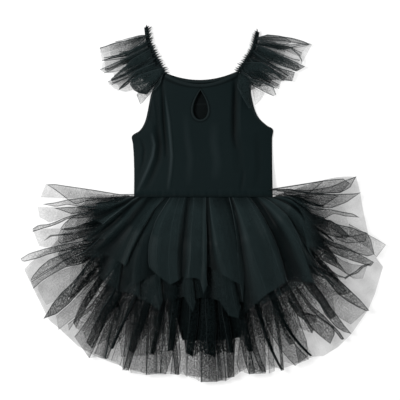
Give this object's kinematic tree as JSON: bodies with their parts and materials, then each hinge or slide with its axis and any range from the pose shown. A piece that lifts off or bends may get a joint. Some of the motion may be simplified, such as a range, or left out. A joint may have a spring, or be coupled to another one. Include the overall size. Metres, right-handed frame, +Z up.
{
  "type": "ballet tutu dress",
  "caption": "Child's sleeveless leotard with a keyhole front, gathered net frills on its straps and a tiered net tutu skirt, laid flat on its back.",
  "frame": {"origin": "middle of the garment's footprint, on the surface that it lies on", "axes": "+Z up from that surface, through the garment's front; +Y towards the neck; +X to the right as seen from above"},
  "size_m": [0.6537, 0.6427, 0.0532],
  "materials": {
    "knit": "black stretch jersey, matt with a soft sheen on its folds",
    "trim": "black folded jersey binding and strap elastic",
    "tulle": "black fine net, see-through where it is one layer"
  },
  "bodies": {
    "root": {"bodice_back": "knit", "bodice_front": "knit", "brief_back": "knit", "brief_front": "knit", "neck_binding_back": "trim", "neck_binding_front": "trim", "armhole_binding_left": "trim", "armhole_binding_right": "trim", "keyhole_binding": "trim", "strap_left": "trim", "strap_right": "trim", "sleeve_left_back": "tulle", "sleeve_left_front": "tulle", "sleeve_right_back": "tulle", "sleeve_right_front": "tulle", "tier_1_back": "tulle", "tier_2_back": "tulle", "tier_3_back": "tulle", "tier_4_back": "tulle", "tier_4_front": "tulle", "tier_3_front": "tulle", "tier_2_front": "tulle", "tier_1_front": "tulle"}
  },
  "joints": []
}
